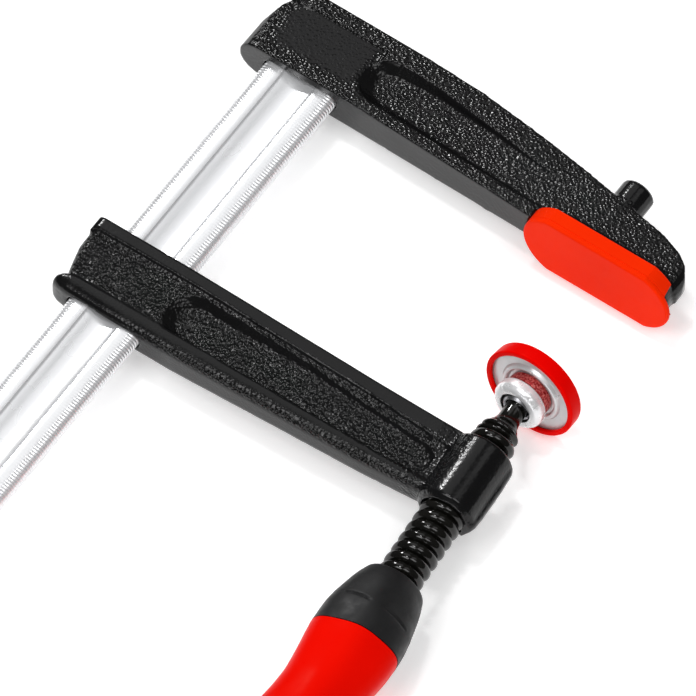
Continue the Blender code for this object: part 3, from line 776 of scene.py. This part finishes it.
def make_socket():
    """The crimped socket: rolled lip with tool marks, waisted red neck and the stem through the plate, with a
    near-black painted shade inside its cavity.
    """
    cavity_radius, hole, rim, radius, neck, stem = 5.7, 4.9, -3.6, 8.25, 7.3, 6.6
    shoulder = PLATE_BACK - 0.3
    mouth = 180.0 - math.degrees(math.asin(hole / cavity_radius))
    cavity = [(r, z) for z, r in arc((0.0, 0.0), cavity_radius, 0.0, mouth, 30)]
    lip = [(hole + 0.25, rim + 0.15), (hole + 0.6, rim), (6.4, rim), (7.2, -3.3), (7.9, -2.6)]
    lip += [(8.2, -1.8), (radius, -0.6), (8.2, 0.2), (7.95, 0.65), (7.6, 1.0)]
    shank = [(neck, 1.3), (neck, shoulder), (stem, shoulder), (stem, PLATE_FACE), (0.0, PLATE_FACE)]
    profile = cavity + smooth_curve(lip, 5) + shank

    def marks(angle, reach, height):
        """Dents left by the crimping tool along the lip."""
        if reach < 6.0 or not -3.7 < height < -2.2:
            return 0.0
        dent = max(0.0, math.cos(TOOL_MARKS * angle) - 0.35)
        return -TOOL_MARK_DEPTH * dent * (1.0 + math.sin(5.0 * angle))

    socket = add_object("crimped_socket", turned(profile, PLATE_STEPS, shape=marks), PLATE_AXES, 35.0)
    dress(socket, "ball_socket", "plate", "socket_steel", COLLAR_ZINC, NECK_RED, BORE_PAINTED_SHADE)
    red_slot, painted_shade_slot = 1, 2
    inverse = PLATE_AXES.inverted()
    for face in socket.data.polygons:
        place = inverse @ face.center / MM
        reach = math.hypot(place.x, place.y)
        if 0.7 < place.z < PLATE_BACK and neck - 0.4 < reach < radius + 0.2:
            face.material_index = red_slot
        # Faces inside the cavity and its mouth get the near-black painted shade.
        elif reach < hole + 0.9 and rim + 0.1 < place.z < cavity_radius + 0.1:
            face.material_index = painted_shade_slot


def make_plate():
    """The round pressed plate with its bead, and the plastic cap over its face and rim."""
    hole, back, face = 6.9, PLATE_BACK, PLATE_FACE
    bead = [(8.1, back), (8.35, back - 0.4), (8.7, back - 0.9), (9.2, back - 1.1), (9.7, back - 0.9)]
    bead += [(10.05, back - 0.4), (10.3, back)]
    edge = [bead[-1], (PLATE_RADIUS, back, 0.3), (PLATE_RADIUS, face, 0.3), (hole, face)]
    loop = [(hole, face), (hole, back)] + smooth_curve(bead, 5) + rounded(edge, 0.3, 4, closed=False)[1:-1]
    disc = add_object("beaded_plate", turned(loop, PLATE_STEPS, closed=True), PLATE_AXES, 30.0)
    dress(disc, "swivel_plate", "plate", "plate_steel", PLATE_ZINC)
    cap_back, cap_face, cap_radius, front, lip, gap = 3.3, 8.5, 15.5, 15.2, 13.7, 0.3
    wall = PLATE_RADIUS + gap
    inside = [(0.0, face + gap), (wall, face + gap, 0.2), (wall, back - gap, 0.2), (lip, back - gap, 0.2)]
    inside += [(lip, cap_back + 0.1, 0.3), (lip + 0.4, cap_back, 0.3)]
    outside = [(cap_radius, cap_back, 0.7), (front, cap_face, 0.9), (0.0, cap_face)]
    outline = rounded(inside + outside, 0.2, 6, closed=False)
    cap = add_object("red_plate_cap", turned(outline, 160), PLATE_AXES, 30.0)
    dress(cap, "swivel_plate_cap", "plate", "red_cap", CAP_RED)


def make_ball_bearings():
    """The thin spherical ring behind the ball and the seat in front of it."""
    inner, outer = 4.85, 5.45
    ring_line = shell_loop(inner, outer, 95.0, 128.0)
    ring = add_object("thrust_ring", turned(ring_line, closed=True), SPINDLE_AXES)
    dress(ring, "ball_retaining_ring", "thrust", "pin_steel", SPRING_STEEL)
    seat_line = [(0.0, inner)] + [(r, z) for z, r in arc((0.0, 0.0), inner, 4.0, 60.0, 24)]
    seat_line += [(r, z) for z, r in arc((0.0, 0.0), outer, 60.0, 4.0, 24)] + [(0.0, outer)]
    seat = add_object("ball_cup", turned(seat_line), PLATE_AXES)
    dress(seat, "ball_seat", "seat", "ball_seat", SEAT_BLACK)


# ---------------------------------------------------------------- handle


def soft_hexagon(angle, radius, height):
    """How far the handle's section stands from a circle: six flats with very soft corners."""
    swell = min(1.0, max(0.0, (radius - 9.5) / 4.0))
    wave = math.cos(HANDLE_SIDES * (angle - math.radians(HANDLE_TURN)))
    return -radius * HANDLE_FLATTENING * swell * (0.5 - 0.5 * wave)


def collar_shape(angle, radius, height):
    """The soft hexagon with an arched crease across each flat."""
    reach = soft_hexagon(angle, radius, height)
    if radius < 10.0:
        return reach
    turn = 360.0 / HANDLE_SIDES
    off = ((math.degrees(angle) - HANDLE_TURN) % turn) - turn / 2
    share = abs(off) / CREASE_HALF_ANGLE
    if share >= 1.0:
        return reach
    line = CREASE_HEIGHT - CREASE_DROP * share * share
    gap = height - line
    fade = (1.0 - share * share) ** 0.5
    groove = math.exp(-(gap / 0.35) ** 2)
    scoop = 0.35 * math.exp(-abs(gap) / 2.5) if gap < 0.0 else 0.0
    return reach - CREASE_DEPTH * fade * (groove + scoop)


def collar_slant(angle, radius, height):
    """How the joint between the collar and the body dips to one side."""
    near = max(0.0, 1.0 - abs(height - COLLAR_END) / 3.0)
    share = near * near * (3.0 - 2.0 * near)
    dip = COLLAR_SLANT * radius / COLLAR_END_RADIUS * share
    return -dip * math.cos(angle - math.radians(COLLAR_LOW_SIDE))


def make_handle():
    """The soft collar, the red body and the soft end."""
    bore, gap = HANDLE_BORE, HANDLE_GAP
    pocket, pocket_end, rim = 7.3, THREAD_START - 1.2, COLLAR_END_RADIUS - 0.3
    outline = smooth_curve([(8.9, COLLAR_TOP), (9.7, -73.0), (10.6, -75.0), (11.8, -78.3), (13.2, -83.7),
                            (14.1, -87.6), (14.45, -91.0), (COLLAR_END_RADIUS, COLLAR_END)], 6)
    outline = refined(outline, 0.3)
    inside = [(rim, COLLAR_END), (bore, COLLAR_END), (bore, pocket_end), (pocket, pocket_end)]
    inside += [(pocket, COLLAR_TOP + 0.3), (pocket + 0.3, COLLAR_TOP)]
    collar_mesh = turned(outline + inside, HANDLE_STEPS, closed=True, shape=collar_shape, lift=collar_slant)
    collar = add_object("soft_collar", collar_mesh, SPINDLE_AXES, 35.0)
    dress(collar, "handle_collar", "screw", "soft_black", SOFT_BLACK)
    top = COLLAR_END - gap
    curve = [(COLLAR_END_RADIUS, top), (14.25, -100.5), (13.6, -106.0), (12.95, -112.0), (12.8, -116.5)]
    curve += [(13.4, -123.5), (14.7, -132.0), (16.1, -141.0), (16.9, -150.0), (17.0, -158.0), (16.4, -167.0)]
    curve += [(15.1, -176.0), (13.6, BODY_END)]
    body_line = [(0.0, SHANK_END - gap), (bore, SHANK_END - gap), (bore, top), (rim, top)]
    body_line += refined(smooth_curve(curve, 6), 0.8) + [(0.0, BODY_END)]
    body_mesh = turned(body_line, HANDLE_STEPS, shape=soft_hexagon, lift=collar_slant)
    body = add_object("red_handle_body", body_mesh, SPINDLE_AXES, 35.0)
    dress(body, "handle_body", "screw", "red_handle", BODY_RED)
    start = BODY_END - gap
    end_curve = [(13.5, start), (13.2, -186.0), (12.5, -187.8), (11.0, -189.6), (7.0, -190.8)]
    end_curve.append((3.0, HANDLE_END))
    end_line = [(0.0, start), (13.2, start)] + smooth_curve(end_curve, 8) + [(0.0, HANDLE_END)]
    end = add_object("soft_end_cap", turned(end_line, HANDLE_STEPS, shape=soft_hexagon), SPINDLE_AXES, 35.0)
    dress(end, "handle_end_cap", "screw", "soft_black", SOFT_BLACK)


# ---------------------------------------------------------------- studio


def direction(azimuth, elevation):
    """The unit vector from the clamp towards an azimuth and elevation in degrees. 0 is the front."""
    around, up = math.radians(azimuth), math.radians(elevation)
    return Vector((math.sin(around) * math.cos(up), -math.cos(around) * math.cos(up), math.sin(up)))


def make_floor():
    """A pale floor that glows a little, just under the lowest piece."""
    mesh = bmesh.new()
    bmesh.ops.create_grid(mesh, x_segments=2, y_segments=2, size=FLOOR_HALF)
    data = bpy.data.meshes.new("floor")
    mesh.to_mesh(data)
    mesh.free()
    floor = bpy.data.objects.new("floor", data)
    floor.location = (0.0, 0.0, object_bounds()[0].z - FLOOR_GAP)
    made, shader = new_material("pale_floor", (0.93, 0.93, 0.93), 0.9)
    shader.inputs["Emission Color"].default_value = (1.0, 1.0, 1.0, 1.0)
    shader.inputs["Emission Strength"].default_value = FLOOR_GLOW
    plug(made, shader, "Roughness", spread(made, noise_field(made, 30.0), 0.85, 0.95))
    data.materials.append(made)
    bpy.context.scene.collection.objects.link(floor)


def add_softbox(name, aim, distance, size, radiance):
    """A soft rectangular light facing the clamp from the direction aim."""
    light = bpy.data.lights.new(name, "AREA")
    light.shape = "RECTANGLE"
    light.size, light.size_y = size
    light.energy = radiance * math.pi * size[0] * size[1]
    lamp = bpy.data.objects.new(name, light)
    lamp.location = Vector(TARGET) + aim * distance
    lamp.visible_camera = False
    lamp.rotation_euler = aim.to_track_quat("Z", "Y").to_euler()
    bpy.context.scene.collection.objects.link(lamp)


def make_lights():
    """A dim white world and the softboxes."""
    world = bpy.data.worlds.new("studio")
    bpy.context.scene.world = world
    world.use_nodes = True
    background = world.node_tree.nodes["Background"]
    background.inputs["Color"].default_value = (1.0, 1.0, 1.0, 1.0)
    background.inputs["Strength"].default_value = WORLD_STRENGTH
    for name, azimuth, elevation, distance, size, radiance in SOFTBOXES:
        add_softbox(name, direction(azimuth, elevation), distance, size, radiance)


def make_camera():
    """The camera at the photograph's viewing angle."""
    back = direction(AZIMUTH, ELEVATION)
    data = bpy.data.cameras.new("camera")
    data.sensor_width = SENSOR
    data.lens = SENSOR * DISTANCE / VIEW_WIDTH
    data.clip_end = CLIP_END
    camera = bpy.data.objects.new("camera", data)
    camera.location = Vector(TARGET) + back * DISTANCE
    camera.rotation_euler = back.to_track_quat("Z", "Y").to_euler()
    bpy.context.scene.collection.objects.link(camera)
    bpy.context.scene.camera = camera


make_camera()
make_rail()
make_stop_pin()
make_castings()
make_jaw_pad()
make_spindle()
make_socket()
make_plate()
make_ball_bearings()
make_handle()
make_floor()
make_lights()
bpy.context.scene.view_settings.view_transform = "Standard"
